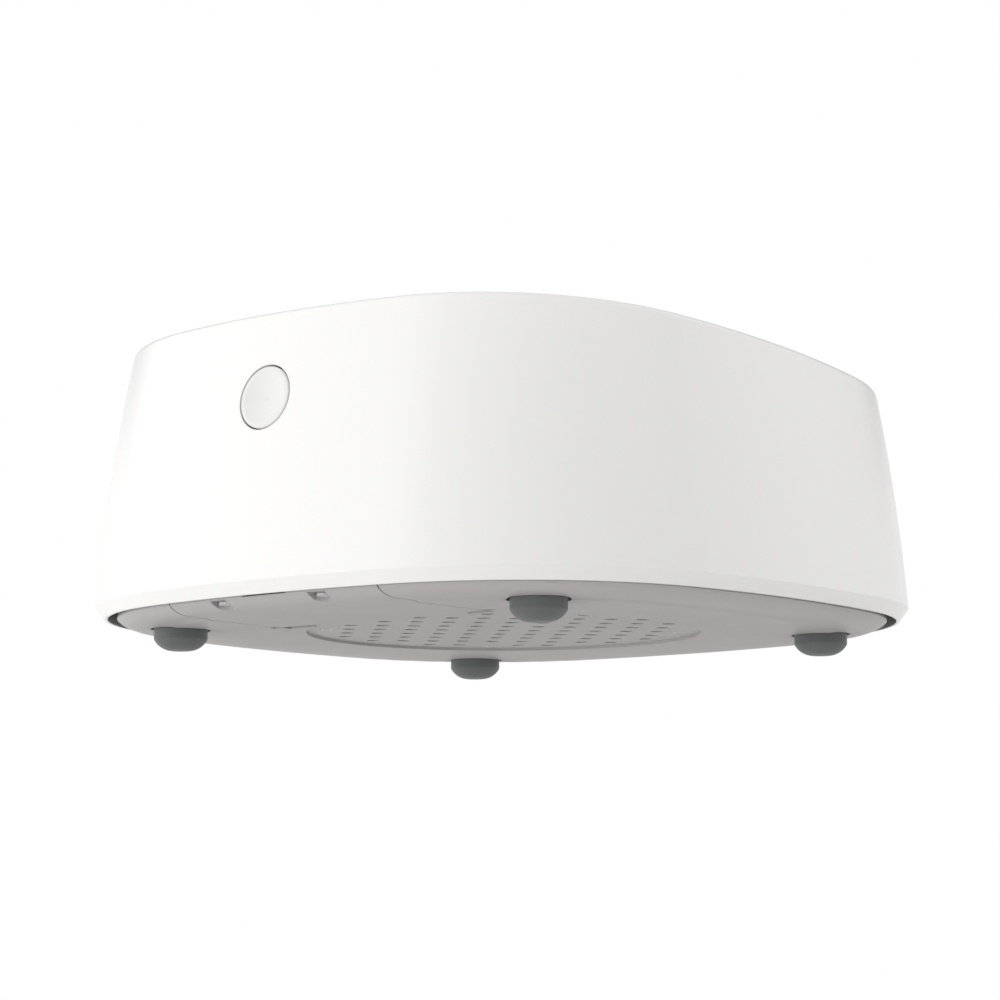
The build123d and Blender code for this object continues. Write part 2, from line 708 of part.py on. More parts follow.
# Battery door: its outside carries on the plate's dished rim
parting_height = plate_height + door_body_height
door_rim_top = parting_height + door_rim_height
screw_seat = plate_height + door_screw_sink
with BuildPart() as battery_door:
    add(underside.part)
    with BuildSketch(Plane.XY.offset(plate_height + rim_rise)):
        plan_face(rim_inset)
    extrude(amount=parting_height - plate_height - rim_rise)
    with BuildSketch(Plane.XY.offset(plate_height)):
        with Locations((0, hinge_y)):
            Rectangle(door_width, side_length, align=(Align.CENTER, Align.MAX))
    extrude(amount=door_body_height, mode=Mode.INTERSECT)
    with BuildSketch(Plane.XY.offset(parting_height)):
        with Locations((0, (door_rim_front + door_rim_back) / 2)):
            Rectangle(door_rim_length, door_rim_back - door_rim_front)
            Rectangle(
                door_rim_length - 2 * door_rim_wall,
                door_rim_back - door_rim_front - 2 * door_rim_wall,
                mode=Mode.SUBTRACT,
            )
    extrude(amount=door_rim_height)
    with BuildSketch(Plane.XY.offset(door_rim_top - hook_height)):
        with Locations((0, door_rim_front)):
            with GridLocations(hook_spacing, 0, 2, 1):
                Rectangle(hook_length, 2 * hook_proud)
    extrude(amount=hook_height)
    with BuildSketch(Plane.YZ.offset(-door_width / 2)):
        with Locations((hinge_y, hinge_height)):
            Circle(barrel_radius)
    extrude(amount=door_width)
    with BuildSketch(Plane.XY.offset(parting_height)):
        with Locations((-door_screw_x, door_screw_y), (door_screw_x, door_screw_y)):
            Circle(door_boss_radius)
    extrude(amount=door_boss_height)
    with BuildSketch(Plane.YZ.offset(-door_width / 2)):
        with Locations((hinge_y, hinge_height)):
            Circle(pin_radius + pin_gap)
    extrude(amount=door_width, mode=Mode.SUBTRACT)
    recess_low = plate_height + side_recess_wall
    side_recess_front = -half_side + side_recess_front_margin
    side_recess_back = hinge_y - side_recess_back_margin
    for side in (-1, 1):
        with BuildSketch(Plane.YZ.offset(side * door_width / 2)):
            with BuildLine():
                Polyline(
                    (side_recess_front, parting_height - side_recess_wall),
                    (side_recess_front + side_recess_depth, recess_low),
                    (side_recess_back, recess_low),
                    (side_recess_back, recess_low + side_recess_wall),
                    close=True,
                )
            make_face()
        extrude(amount=-side * side_recess_depth, mode=Mode.SUBTRACT)
    with BuildSketch(Plane.XY.offset(parting_height - notch_height)):
        with Locations((0, rim_inset - half_side + notch_depth)):
            Rectangle(notch_width, 4 * notch_depth, align=(Align.CENTER, Align.MAX))
    extrude(amount=notch_height, mode=Mode.SUBTRACT)
    with BuildSketch(Plane.XY.offset(plate_height)):
        with Locations((-door_screw_x, door_screw_y), (door_screw_x, door_screw_y)):
            Circle(door_screw_head + screw_gap)
    extrude(amount=door_screw_sink, mode=Mode.SUBTRACT)
    with BuildSketch(Plane.XY.offset(plate_height)):
        with Locations((-door_screw_x, door_screw_y), (door_screw_x, door_screw_y)):
            Rectangle(door_screw_slot, door_screw_margin, align=(Align.CENTER, Align.MAX))
    extrude(amount=door_screw_sink, mode=Mode.SUBTRACT)
    for x in (-door_screw_x, door_screw_x):
        with Locations((x, door_screw_y, plate_height)):
            Cone(
                door_screw_funnel,
                door_screw_head,
                door_screw_sink,
                align=(Align.CENTER, Align.CENTER, Align.MIN),
                mode=Mode.SUBTRACT,
            )
    with BuildSketch(Plane.XY.offset(plate_height)):
        with Locations((-door_screw_x, door_screw_y), (door_screw_x, door_screw_y)):
            Circle(door_screw_shank + screw_gap)
    extrude(amount=2 * door_body_height, mode=Mode.SUBTRACT)
save(battery_door, "battery_door")

with BuildPart() as door_screws:
    with BuildSketch(Plane.XY.offset(screw_seat)):
        with Locations((-door_screw_x, door_screw_y), (door_screw_x, door_screw_y)):
            Circle(door_screw_shank)
    extrude(amount=door_screw_length)
    with BuildSketch(Plane.XY.offset(screw_seat - door_screw_head_height)):
        with Locations((-door_screw_x, door_screw_y), (door_screw_x, door_screw_y)):
            Circle(door_screw_head)
    extrude(amount=door_screw_head_height)
save(door_screws, "door_screws")

with BuildPart() as hinge_pin:
    with BuildSketch(Plane.YZ.offset(-pin_half + pin_gap)):
        with Locations((hinge_y, hinge_height)):
            Circle(pin_radius)
    extrude(amount=2 * (pin_half - pin_gap))
save(hinge_pin, "hinge_pin")

# Rubber gasket, fitted over the raised rim of the door
gasket_top = door_rim_top + gasket_seat_gap + gasket_web
gasket_front = door_rim_front - gasket_swing_gap
gasket_back = door_rim_back + gasket_side_gap
gasket_side = door_rim_length / 2 + gasket_side_gap
gasket_middle = (gasket_front + gasket_back) / 2
gasket_depth = gasket_back - gasket_front
with BuildPart() as door_gasket:
    with BuildSketch(Plane.XY.offset(parting_height + gasket_seat_gap)):
        with Locations((0, gasket_middle)):
            Rectangle(2 * (gasket_side + gasket_wall), gasket_depth + 2 * gasket_wall)
    extrude(amount=gasket_top - parting_height - gasket_seat_gap)
    fillet(door_gasket.edges().filter_by(Axis.Z), gasket_wall)
    with BuildSketch(Plane.XY.offset(parting_height + gasket_seat_gap)):
        with Locations((0, gasket_middle)):
            grown = gasket_wall + gasket_flange
            RectangleRounded(2 * (gasket_side + grown), gasket_depth + 2 * grown, grown)
    extrude(amount=gasket_wall)
    with BuildSketch(Plane.XY.offset(parting_height)):
        with Locations((0, gasket_middle)):
            Rectangle(2 * gasket_side, gasket_depth)
    extrude(amount=door_rim_height + gasket_seat_gap, mode=Mode.SUBTRACT)
    with BuildSketch(Plane.XY.offset(parting_height)):
        with Locations((0, gasket_middle)):
            Rectangle(2 * (gasket_side - gasket_web_width), gasket_depth - 2 * gasket_web_width)
    extrude(amount=gasket_top, mode=Mode.SUBTRACT)
save(door_gasket, "door_gasket")

# Battery box
box_length = door_opening - 2 * box_side_gap
box_bottom = gasket_top + box_seat_gap
cell_axis_height = box_bottom + cell_clearance + aaa_radius
inner_width = cell_spacing + 2 * (aaa_radius + cell_clearance)
inner_length = aaa_length + nub_length + 2 * contact_room
box_width = inner_width + 2 * box_wall
box_height = cell_axis_height + aaa_radius + cell_clearance + box_wall - box_bottom
box_front = battery_y - box_width / 2
box_top = box_bottom + box_height
battery_x = (inner_length - box_length) / 2 + box_wall
room_start = battery_x + inner_length / 2 + box_wall
box_boss_bottom = parting_height + door_boss_height + box_boss_gap
with BuildPart() as battery_box:
    with BuildSketch(Plane.XY.offset(box_bottom)):
        with Locations((0, battery_y)):
            Rectangle(box_length, box_width)
        with Locations((room_start, box_front)):
            Rectangle(box_length, box_step, align=(Align.MIN, Align.MIN), mode=Mode.SUBTRACT)
    extrude(amount=box_height)
    fillet(battery_box.edges().filter_by(Axis.Z), box_wall)
    with BuildSketch(Plane.XY.offset(box_bottom)):
        with Locations((battery_x, battery_y)):
            Rectangle(inner_length, inner_width)
        with Locations((room_start, battery_y + inner_width / 2)):
            Rectangle(
                box_length / 2 - box_wall - room_start,
                inner_width - box_step,
                align=(Align.MIN, Align.MAX),
            )
    extrude(amount=box_height - box_wall, mode=Mode.SUBTRACT)
    with BuildSketch(Plane.XY.offset(box_bottom)):
        with Locations((battery_x, box_front)):
            Rectangle(inner_length, 3 * box_wall)
    extrude(amount=front_cut_height, mode=Mode.SUBTRACT)
    with BuildSketch(Plane.XY.offset(box_top - rib_height)):
        with Locations((battery_x, box_front)):
            with GridLocations(rib_spacing, 0, 3, 1):
                Rectangle(rib_width, 2 * rib_depth)
    extrude(amount=rib_height)
    with BuildSketch(Plane.XY.offset(box_bottom)):
        with Locations((-door_screw_x, door_screw_y), (door_screw_x, door_screw_y)):
            Rectangle(
                2 * door_boss_radius,
                box_front - door_screw_y + box_wall / 2,
                align=(Align.CENTER, Align.MIN),
            )
    extrude(amount=box_boss_top + front_cut_height)
    with BuildSketch(Plane.XY.offset(box_boss_bottom)):
        with Locations((-door_screw_x, door_screw_y), (door_screw_x, door_screw_y)):
            Circle(door_boss_radius)
    extrude(amount=box_bottom + box_boss_top + front_cut_height - box_boss_bottom)
    with BuildSketch(Plane.XY.offset(parting_height)):
        with Locations((-door_screw_x, door_screw_y), (door_screw_x, door_screw_y)):
            Circle(door_screw_shank + door_screw_swing)
    extrude(amount=door_screw_length + 2 * door_boss_height, mode=Mode.SUBTRACT)
    with BuildSketch(Plane.XY.offset(box_top)):
        with Locations((0, battery_y)):
            with GridLocations(board_length - 2 * board_post_inset, board_width - 2 * board_post_inset, 2, 2):
                Circle(board_post_radius)
    extrude(amount=board_lift)
save(battery_box, "battery_box")

cell_names = ("battery_front", "battery_back")
for row, name in enumerate(cell_names):
    facing = 1 - 2 * row
    cell_y = battery_y + (row - 0.5) * cell_spacing
    cell_start = battery_x - facing * (aaa_length + nub_length) / 2
    along = Plane(origin=(cell_start, cell_y, cell_axis_height), x_dir=(0, 1, 0), z_dir=(facing, 0, 0))
    with BuildPart() as battery:
        with BuildSketch(along):
            Circle(aaa_radius)
        extrude(amount=aaa_length)
        fillet(battery.edges(), nub_length / 2)
        with BuildSketch(along.offset(aaa_length)):
            Circle(nub_radius)
        extrude(amount=nub_length)
    save(battery, name)

with BuildPart() as battery_contacts:
    for row in (0, 1):
        facing = 1 - 2 * row
        cell_y = battery_y + (row - 0.5) * cell_spacing
        wall_minus = battery_x - facing * inner_length / 2
        wall_plus = battery_x + facing * inner_length / 2
        plate_side = 2 * (spring_radius + contact_margin)
        minus = Plane(origin=(wall_minus, cell_y, cell_axis_height), x_dir=(0, 1, 0), z_dir=(facing, 0, 0))
        plus = Plane(origin=(wall_plus, cell_y, cell_axis_height), x_dir=(0, 1, 0), z_dir=(-facing, 0, 0))
        with BuildSketch(minus, plus):
            Rectangle(plate_side, plate_side)
        extrude(amount=contact_thickness)
        with BuildSketch(minus.offset(contact_thickness)):
            Circle(spring_radius)
        with BuildSketch(minus.offset(contact_room)):
            Circle(spring_tip_radius)
        loft()
        with BuildSketch(plus.offset(contact_thickness)):
            Circle(nub_radius)
        extrude(amount=contact_room - contact_thickness)
save(battery_contacts, "battery_contacts")

# Control board and what is soldered to it
board_bottom = box_top + board_lift
board_top = board_bottom + board_thickness
with BuildPart() as control_board:
    with BuildSketch(Plane.XY.offset(board_bottom)):
        with Locations((0, battery_y)):
            RectangleRounded(board_length, board_width, board_post_radius)
    extrude(amount=board_thickness)
save(control_board, "control_board")

with BuildPart() as board_parts:
    with BuildSketch(Plane.XY.offset(board_top)):
        with Locations((-board_length / 4, battery_y)):
            Rectangle(chip_side, chip_side)
    extrude(amount=chip_height)
    with BuildSketch(Plane.XY.offset(board_top)):
        with Locations((0, battery_y)):
            Circle(buzzer_radius)
    extrude(amount=buzzer_height)
    with BuildSketch(Plane.XY.offset(board_top)):
        with Locations((board_length / 4, battery_y)):
            with GridLocations(0, capacitor_spacing, 1, 2):
                Circle(capacitor_radius)
    extrude(amount=capacitor_height)
save(board_parts, "board_parts")
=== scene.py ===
import json
from math import cos, pi, radians, sin

import bmesh
import bpy
from mathutils import Matrix, Vector


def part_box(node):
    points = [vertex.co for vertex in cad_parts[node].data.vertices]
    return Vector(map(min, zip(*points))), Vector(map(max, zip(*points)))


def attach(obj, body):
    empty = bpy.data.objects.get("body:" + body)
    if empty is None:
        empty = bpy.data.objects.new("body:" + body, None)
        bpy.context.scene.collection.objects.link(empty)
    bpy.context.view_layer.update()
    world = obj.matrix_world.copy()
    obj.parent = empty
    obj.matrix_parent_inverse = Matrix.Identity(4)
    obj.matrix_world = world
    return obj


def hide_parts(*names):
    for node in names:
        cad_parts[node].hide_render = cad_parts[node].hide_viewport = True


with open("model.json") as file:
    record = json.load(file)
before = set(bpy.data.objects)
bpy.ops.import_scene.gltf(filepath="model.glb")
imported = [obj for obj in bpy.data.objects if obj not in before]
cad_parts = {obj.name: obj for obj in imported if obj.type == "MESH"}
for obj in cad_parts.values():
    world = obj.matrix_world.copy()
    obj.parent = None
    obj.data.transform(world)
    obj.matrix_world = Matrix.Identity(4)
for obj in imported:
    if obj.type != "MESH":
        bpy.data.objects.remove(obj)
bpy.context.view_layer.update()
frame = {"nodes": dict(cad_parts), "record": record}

nodes = frame["nodes"]
scene = bpy.context.scene
mm = 0.001


# Camera at the photograph's low angle, in front of the right-hand corner
def make_camera():
    azimuth = radians(39.44)
    pitch = radians(7.75)
    roll = radians(-0.07)
    distance = 0.8023
    shift = -0.0009
    height = -0.0707
    right = Vector((cos(azimuth), sin(azimuth), 0))
    ahead = Vector((-sin(azimuth), cos(azimuth), 0))
    look = ahead * cos(pitch) + Vector((0, 0, sin(pitch)))
    over = right.cross(look)
    side = right * cos(roll) + over * sin(roll)
    over = side.cross(look)
    spot = ahead * -distance + right * shift + Vector((0, 0, height))
    data = bpy.data.cameras.new("camera")
    data.sensor_width = 36
    data.lens = 116.4
    data.clip_start = 0.01
    camera = bpy.data.objects.new("camera", data)
    scene.collection.objects.link(camera)
    turn = Matrix((side, over, -look)).transposed().to_4x4()
    camera.matrix_world = Matrix.Translation(spot) @ turn
    scene.camera = camera


# Pale floor that is only seen from above, because the camera looks up from below it. It lets part
# of the light through, so that the underside isn't black
def make_floor():
    size = 3.0
    see_through = 0.55
    mesh = bpy.data.meshes.new("floor")
    corners = [(-size, -size, 0), (size, -size, 0), (size, size, 0), (-size, size, 0)]
    mesh.from_pydata(corners, [], [(0, 1, 2, 3)])
    floor = bpy.data.objects.new("floor", mesh)
    scene.collection.objects.link(floor)
    surface = bpy.data.materials.new("floor")
    surface.use_nodes = True
    tree = surface.node_tree
    shader = tree.nodes["Principled BSDF"]
    shader.inputs["Base Color"].default_value = (0.86, 0.86, 0.86, 1)
    shader.inputs["Roughness"].default_value = 0.6
    geometry = tree.nodes.new("ShaderNodeNewGeometry")
    clear = tree.nodes.new("ShaderNodeBsdfTransparent")
    thin = tree.nodes.new("ShaderNodeMixShader")
    thin.inputs["Fac"].default_value = see_through
    tree.links.new(shader.outputs["BSDF"], thin.inputs[1])
    tree.links.new(clear.outputs["BSDF"], thin.inputs[2])
    mix = tree.nodes.new("ShaderNodeMixShader")
    tree.links.new(geometry.outputs["Backfacing"], mix.inputs["Fac"])
    tree.links.new(thin.outputs["Shader"], mix.inputs[1])
    tree.links.new(clear.outputs["BSDF"], mix.inputs[2])
    tree.links.new(mix.outputs["Shader"], tree.nodes["Material Output"].inputs["Surface"])
    mesh.materials.append(surface)


# Materials: each starts from a shader whose colour, roughness and bump vary over the surface
def new_material(name, roughness, metallic=0.0, **sockets):
    surface = bpy.data.materials.new(name)
    surface.use_nodes = True
    shader = surface.node_tree.nodes["Principled BSDF"]
    shader.inputs["Roughness"].default_value = roughness
    shader.inputs["Metallic"].default_value = metallic
    for socket, value in sockets.items():
        shader.inputs[socket.replace("_", " ")].default_value = value
    return surface


def add_node(tree, kind, **values):
    """New node whose named inputs are set to numbers or linked to sockets."""
    node = tree.nodes.new("ShaderNode" + kind)
    for name, value in values.items():
        socket = node.inputs[int(name[1:])] if name[1:].isdigit() else node.inputs[name.replace("_", " ")]
        if isinstance(value, bpy.types.NodeSocket):
            tree.links.new(value, socket)
        else:
            socket.default_value = value
    return node


def compute(tree, operation, first, second=0.0):
    """Result of a sum, product or comparison of numbers or sockets."""
    node = add_node(tree, "Math", i0=first, i1=second)
    node.operation = operation
    return node.outputs["Value"]


def place_of(tree):
    """Point on the piece, in the piece's own coordinates."""
    return tree.nodes.new("ShaderNodeTexCoord").outputs["Object"]


def noise(tree, scale, detail=3.0, vector=None):
    """Noise texture over the piece's own coordinates, in metres."""
    vector = vector or place_of(tree)
    return add_node(tree, "TexNoise", Vector=vector, Scale=scale, Detail=detail).outputs["Fac"]


def spread(tree, value, low, high, start=0.3, end=0.7):
    """Map a texture's value to a range of numbers."""
    ramp = add_node(tree, "MapRange", Value=value, From_Min=start, From_Max=end, To_Min=low, To_Max=high)
    return ramp.outputs["Result"]


def tint(tree, value, dark, light, start=0.3, end=0.7):
    """Colour between two tones, by a texture's value."""
    ramp = add_node(tree, "ValToRGB", Fac=value)
    ramp.color_ramp.elements[0].position = start
    ramp.color_ramp.elements[1].position = end
    ramp.color_ramp.elements[0].color = (*dark, 1)
    ramp.color_ramp.elements[1].color = (*light, 1)
    return ramp.outputs["Color"]


def bump(tree, value, depth, under=None):
    node = add_node(tree, "Bump", Height=value, Distance=depth, Strength=1.0)
    if under:
        tree.links.new(under, node.inputs["Normal"])
    return node.outputs["Normal"]


def blend_colour(tree, share, first, second):
    """First colour where the share is zero, second where it is one."""
    node = tree.nodes.new("ShaderNodeMix")
    node.data_type = "RGBA"
    for socket, value in zip((node.inputs[0], node.inputs[6], node.inputs[7]), (share, first, second)):
        if isinstance(value, bpy.types.NodeSocket):
            tree.links.new(value, socket)
        else:
            socket.default_value = value
    return node.outputs[2]


def dress(surface, dark, light, roughness, tone_scale, grain_scale, grain_depth, edge=0.0):
    """Tone and roughness vary between two values each, over a fine grain.

    Scales are per metre. Depth of the grain and radius of the softened edges are in metres.
    """
    tree = surface.node_tree
    shader = tree.nodes["Principled BSDF"]
    broad = noise(tree, tone_scale)
    fine = noise(tree, grain_scale, 6.0)
    tree.links.new(tint(tree, broad, dark, light, 0.05, 0.95), shader.inputs["Base Color"])
    smudge = noise(tree, tone_scale * 4, 5.0)
    tree.links.new(spread(tree, smudge, *roughness, 0.05, 0.95), shader.inputs["Roughness"])
    under = None
    if edge:
        under = add_node(tree, "Bevel", Radius=edge).outputs["Normal"]
    tree.links.new(bump(tree, fine, grain_depth, under), shader.inputs["Normal"])


def make_light(name, spot, target, size, power):
    """Soft rectangular light that metal and gloss don't mirror."""
    data = bpy.data.lights.new(name, "AREA")
    data.shape = "RECTANGLE"
    data.size = size[0]
    data.size_y = size[1]
    data.energy = power
    light = bpy.data.objects.new(name, data)
    scene.collection.objects.link(light)
    way = Vector(target) - Vector(spot)
    light.matrix_world = Matrix.Translation(spot) @ way.to_track_quat("-Z", "Y").to_matrix().to_4x4()
    light.visible_glossy = False


def stretch(tree, value, rise, fall):
    """One between the two ranges, and zero outside them."""
    rising = spread(tree, value, 0, 1, *rise)
    falling = spread(tree, value, 1, 0, *fall)
    return compute(tree, "MULTIPLY", rising, falling)


# White studio: the light that falls on the object varies with height, and metal and gloss mirror a
# grey stretch in front, a dark one to the right and a grey one high at the back
def make_world():
    world = bpy.data.worlds.new("studio")
    scene.world = world
    world.use_nodes = True
    tree = world.node_tree
    way = tree.nodes.new("ShaderNodeTexCoord").outputs["Generated"]
    parts = add_node(tree, "SeparateXYZ", Vector=way)
    height = parts.outputs["Z"]
    ramp = add_node(tree, "ValToRGB", Fac=spread(tree, height, 0, 1, -1, 1))
    green, blue = 0.995, 0.985
    stops = [(0.0, 0.95), (0.42, 0.95), (0.5, 0.93), (0.6, 0.88)]
    stops += [(0.72, 0.9), (0.8, 1.05), (0.9, 0.8), (1.0, 0.7)]
    for spot, value in stops[2:]:
        ramp.color_ramp.elements.new(spot)
    for element, (spot, value) in zip(ramp.color_ramp.elements, stops):
        element.position = spot
        element.color = (value, green * value, blue * value, 1)
    turn = compute(tree, "ARCTAN2", parts.outputs["Y"], parts.outputs["X"])
    rays = tree.nodes.new("ShaderNodeLightPath")
    level = stretch(tree, height, (0.02, 0.08), (0.5, 0.6))
    front = stretch(tree, turn, (-3.0, -2.2), (-1.84, -1.8))
    right = stretch(tree, turn, (-1.72, -1.68), (0.5, 1.0))
    high = stretch(tree, height, (0.18, 0.26), (0.6, 0.75))
    back = spread(tree, turn, 0, 1, 1.2, 1.7)
    shade = ramp.outputs["Color"]
    for band, side, tone in ((level, front, 0.52), (level, right, 0.03), (high, back, 0.3)):
        area = compute(tree, "MULTIPLY", band, side)
        mirrored = compute(tree, "MULTIPLY", area, rays.outputs["Is Glossy Ray"])
        shade = blend_colour(tree, mirrored, shade, (*grey(tone), 1))
    glow = add_node(tree, "Background", Color=shade, Strength=1.0)
    backdrop = tree.nodes["Background"]
    backdrop.inputs["Color"].default_value = (1, 1, 1, 1)
    mix = tree.nodes.new("ShaderNodeMixShader")
    tree.links.new(rays.outputs["Is Camera Ray"], mix.inputs["Fac"])
    tree.links.new(glow.outputs["Background"], mix.inputs[1])
    tree.links.new(backdrop.outputs["Background"], mix.inputs[2])
    tree.links.new(mix.outputs["Shader"], tree.nodes["World Output"].inputs["Surface"])


def make_lights():
    make_world()
    make_light("key", (-1.2, -1.1, 0.6), (0, 0, 0.04), (2.0, 1.6), 13.5)
    make_light("low", (-0.55, -1.15, -0.4), (0, 0, 0.02), (1.2, 0.4), 9)
    make_light("side", (1.3, 0.2, 0.9), (0, 0, 0.04), (0.8, 0.8), 3)
    scene.view_settings.view_transform = "Standard"


def grey(value):
    return (value, value, value)


shell_white = new_material("shell_white", 0.2, Coat_Weight=0.3, Coat_Roughness=0.18, Coat_IOR=1.45)
dress(shell_white, (0.756, 0.753, 0.744), (0.764, 0.761, 0.752), (0.24, 0.28), 5, 1400, 0.000003, 0.0003)
cap_white = new_material("cap_white", 0.3)
dress(cap_white, (0.65, 0.65, 0.645), (0.67, 0.67, 0.665), (0.28, 0.36), 60, 1800, 0.000004, 0.0004)


# Darker tone on the shell's faces under the deck that look inwards, and on those that look down
def darken_inside():
    deck_slope, deck_height = 0.0706, 0.0655
    lowest_ceiling = 0.02
    hole_centre, hole_radius = (0, -0.088, 0.0534), 0.0102
    dark = (0.36, 0.36, 0.357, 1)
    tree = shell_white.node_tree
    shader = tree.nodes["Principled BSDF"]
    facing = tree.nodes.new("ShaderNodeNewGeometry").outputs["True Normal"]
    place = add_node(tree, "SeparateXYZ", Vector=place_of(tree))
    flat = add_node(tree, "CombineXYZ", X=place.outputs["X"], Y=place.outputs["Y"])
    outward = add_node(tree, "VectorMath", i0=flat.outputs["Vector"], i1=facing)
    outward.operation = "DOT_PRODUCT"
    inward = compute(tree, "LESS_THAN", outward.outputs["Value"], -0.01)
    upward = add_node(tree, "SeparateXYZ", Vector=facing).outputs["Z"]
    down = compute(tree, "LESS_THAN", upward, -0.7)
    over_edge = compute(tree, "GREATER_THAN", place.outputs["Z"], lowest_ceiling)
    ceiling = compute(tree, "MULTIPLY", down, over_edge)
    slope = compute(tree, "MULTIPLY", place.outputs["Y"], deck_slope)
    level = compute(tree, "ADD", place.outputs["Z"], slope)
    under = compute(tree, "LESS_THAN", level, deck_height)
    hole = add_node(tree, "VectorMath", i0=place_of(tree), i1=hole_centre)
    hole.operation = "DISTANCE"
    clear_of_hole = compute(tree, "GREATER_THAN", hole.outputs["Value"], hole_radius)
    hidden = compute(tree, "MULTIPLY", under, clear_of_hole)
    inside = compute(tree, "MULTIPLY", compute(tree, "MAXIMUM", inward, ceiling), hidden)
    white = shader.inputs["Base Color"].links[0].from_socket
    tree.links.new(blend_colour(tree, inside, white, dark), shader.inputs["Base Color"])


darken_inside()
plate_white = new_material("plate_white", 0.4)
dress(plate_white, (0.415, 0.402, 0.4), (0.435, 0.421, 0.419), (0.36, 0.5), 18, 2600, 0.00003, 0.0003)
inner_white = new_material("inner_white", 0.5)
dress(inner_white, grey(0.6), grey(0.66), (0.42, 0.55), 20, 2200, 0.00003, 0.0003)
chrome = new_material("chrome", 0.06, 1.0)
dress(chrome, grey(0.62), grey(0.7), (0.03, 0.09), 60, 1200, 0.000001)
# White emission colour, for the painted glow on the window's underside
window_grey = new_material("window_grey", 0.3, Emission_Color=(1, 1, 1, 1), Specular_IOR_Level=0.3)
dress(window_grey, (0.7, 0.705, 0.71), (0.72, 0.725, 0.73), (0.26, 0.34), 40, 1500, 0.000002)


# The window is translucent; its underside is given a painted glow that stands in for the daylight from
# above showing through it
def glow_window_underside():
    tree = window_grey.node_tree
    facing = tree.nodes.new("ShaderNodeNewGeometry").outputs["True Normal"]
    height = add_node(tree, "SeparateXYZ", Vector=facing).outputs["Z"]
    below = compute(tree, "LESS_THAN", height, -0.5)
    glow = compute(tree, "MULTIPLY", below, spread(tree, noise(tree, 60), 0.32, 0.34))
    tree.links.new(glow, tree.nodes["Principled BSDF"].inputs["Emission Strength"])


glow_window_underside()
black_plastic = new_material("black_plastic", 0.4, Specular_IOR_Level=0.3)
dress(black_plastic, grey(0.012), grey(0.02), (0.32, 0.48), 60, 2500, 0.00003, 0.0002)
foot_rubber = new_material("foot_rubber", 0.6, Sheen_Weight=0.15, Sheen_Roughness=0.5)
dress(foot_rubber, (0.115, 0.125, 0.124), (0.14, 0.151, 0.149), (0.5, 0.66), 120, 3000, 0.00004)
bracket_white = new_material("bracket_white", 0.3)
dress(bracket_white, grey(0.66), grey(0.72), (0.26, 0.38), 60, 1800, 0.00001, 0.0003)
battery_wrap = new_material(
    "battery_wrap", 0.3, Coat_Weight=0.2, Coat_Roughness=0.12, Specular_IOR_Level=0.3
)
dress(battery_wrap, (0.022, 0.21, 0.012), (0.036, 0.26, 0.02), (0.2, 0.32), 60, 1500, 0.00001)
contact_metal = new_material("contact_metal", 0.25, 1.0)
dress(contact_metal, (0.6, 0.59, 0.56), (0.7, 0.69, 0.66), (0.18, 0.36), 200, 2000, 0.00001)
gasket_rubber = new_material("gasket_rubber", 0.5, Specular_IOR_Level=0.1)
dress(gasket_rubber, grey(0.007), grey(0.012), (0.4, 0.58), 120, 3200, 0.00003, 0.0003)
screw_steel = new_material("screw_steel", 0.25, 1.0)
dress(screw_steel, (0.5, 0.5, 0.51), (0.64, 0.64, 0.65), (0.16, 0.34), 300, 3000, 0.000006)
solder = new_material("solder", 0.2, 1.0)
dress(solder, grey(0.6), grey(0.75), (0.15, 0.35), 600, 2500, 0.00002)
ceramic = new_material("ceramic", 0.5)
dress(ceramic, (0.28, 0.2, 0.13), (0.36, 0.26, 0.17), (0.4, 0.6), 900, 3000, 0.00002)
segment_white = new_material("segment_white", 0.35)
dress(segment_white, (0.6, 0.62, 0.64), (0.68, 0.7, 0.72), (0.3, 0.42), 200, 2500, 0.00001)


# Steel of the bowl, spun: fine rings of scratches round the bowl's axis
def make_spun_steel():
    surface = new_material("bowl_steel", 0.25, 1.0, Anisotropic=0.4)
    tree = surface.node_tree
    shader = tree.nodes["Principled BSDF"]
    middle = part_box("food_bowl")
    centre = (middle[0] + middle[1]) / 2
    parts = add_node(tree, "SeparateXYZ", Vector=place_of(tree))
    across = compute(tree, "SUBTRACT", parts.outputs["X"], centre.x)
    along = compute(tree, "SUBTRACT", parts.outputs["Y"], centre.y)
    squares = compute(tree, "ADD", compute(tree, "POWER", across, 2), compute(tree, "POWER", along, 2))
    radius = compute(tree, "SQRT", squares)
    turn = compute(tree, "ARCTAN2", along, across)
    sweep = compute(tree, "MULTIPLY", turn, 0.0008)
    lines = add_node(tree, "CombineXYZ", X=radius, Y=sweep, Z=parts.outputs["Z"])
    scratches = noise(tree, 5200, 4.0, lines.outputs["Vector"])
    bands = noise(tree, 420, 2.0, lines.outputs["Vector"])
    tree.links.new(tint(tree, bands, grey(0.5), grey(0.6)), shader.inputs["Base Color"])
    cloudy = spread(tree, noise(tree, 30), 0.9, 1.15)
    rough = compute(tree, "MULTIPLY", spread(tree, scratches, 0.2, 0.34), cloudy)
    tree.links.new(rough, shader.inputs["Roughness"])
    tree.links.new(bump(tree, scratches, 0.000008), shader.inputs["Normal"])
    return surface


